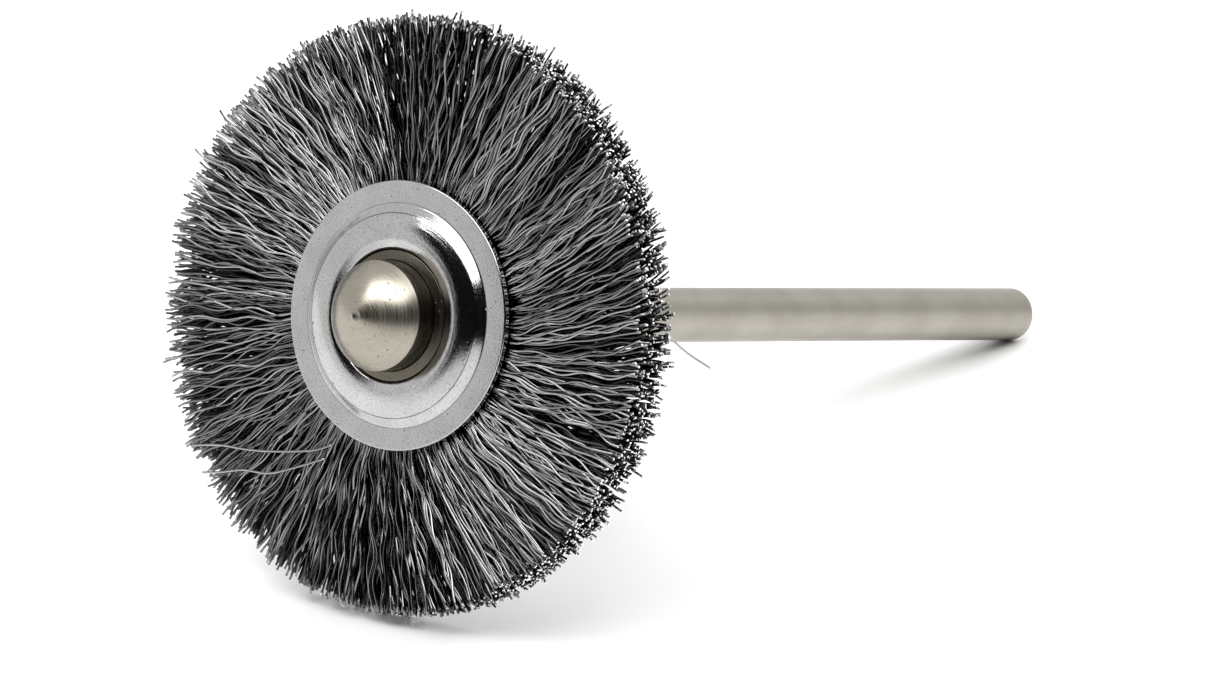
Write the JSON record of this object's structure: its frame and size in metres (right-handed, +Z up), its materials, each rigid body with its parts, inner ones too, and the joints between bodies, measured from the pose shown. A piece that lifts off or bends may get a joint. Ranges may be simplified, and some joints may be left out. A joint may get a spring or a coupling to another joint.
{
  "type": "shank-mounted wire wheel brush",
  "caption": "Miniature crimped steel wire wheel brush clamped between two stamped plates on a plain round shank for a rotary tool, for deburring, rust removal and polishing.",
  "frame": {"origin": "on the table, under the middle of the outline of the brush as it lies", "axes": "+Z up from the table the brush lies on, +X level and towards the shank's tail; the shank slopes down to the tail at 14.4 degrees"},
  "size_m": [0.0474, 0.0246, 0.0243],
  "materials": {
    "shank_steel": "ground nickel-plated steel, satin",
    "pin_nickel": "turned and nickel-plated, fine lathe rings",
    "tube_nickel": "rolled tube lip, browned satin",
    "plate_bright": "bright plated stamped sheet with fine pits",
    "ring_steel": "plain steel",
    "brush_wire": "drawn carbon steel wire, crimped"
  },
  "bodies": {
    "root": {"shank": "shank_steel", "hub_pin": "pin_nickel", "hub_tube": "tube_nickel", "front_plate": "plate_bright", "rear_plate": "plate_bright", "core_ring": "ring_steel", "wire_bundle_01": "brush_wire", "wire_bundle_02": "brush_wire", "wire_bundle_03": "brush_wire", "wire_bundle_04": "brush_wire", "wire_bundle_05": "brush_wire", "wire_bundle_06": "brush_wire", "wire_bundle_07": "brush_wire", "wire_bundle_08": "brush_wire", "wire_bundle_09": "brush_wire", "wire_bundle_10": "brush_wire", "wire_bundle_11": "brush_wire", "wire_bundle_12": "brush_wire", "wire_bundle_13": "brush_wire", "wire_bundle_14": "brush_wire", "wire_bundle_15": "brush_wire", "wire_bundle_16": "brush_wire", "wire_bundle_17": "brush_wire", "wire_bundle_18": "brush_wire", "wire_bundle_19": "brush_wire", "wire_bundle_20": "brush_wire", "wire_bundle_21": "brush_wire", "wire_bundle_22": "brush_wire", "wire_bundle_23": "brush_wire", "wire_bundle_24": "brush_wire", "stray_wire_1": "brush_wire", "stray_wire_2": "brush_wire", "stray_wire_3": "brush_wire"}
  },
  "joints": []
}
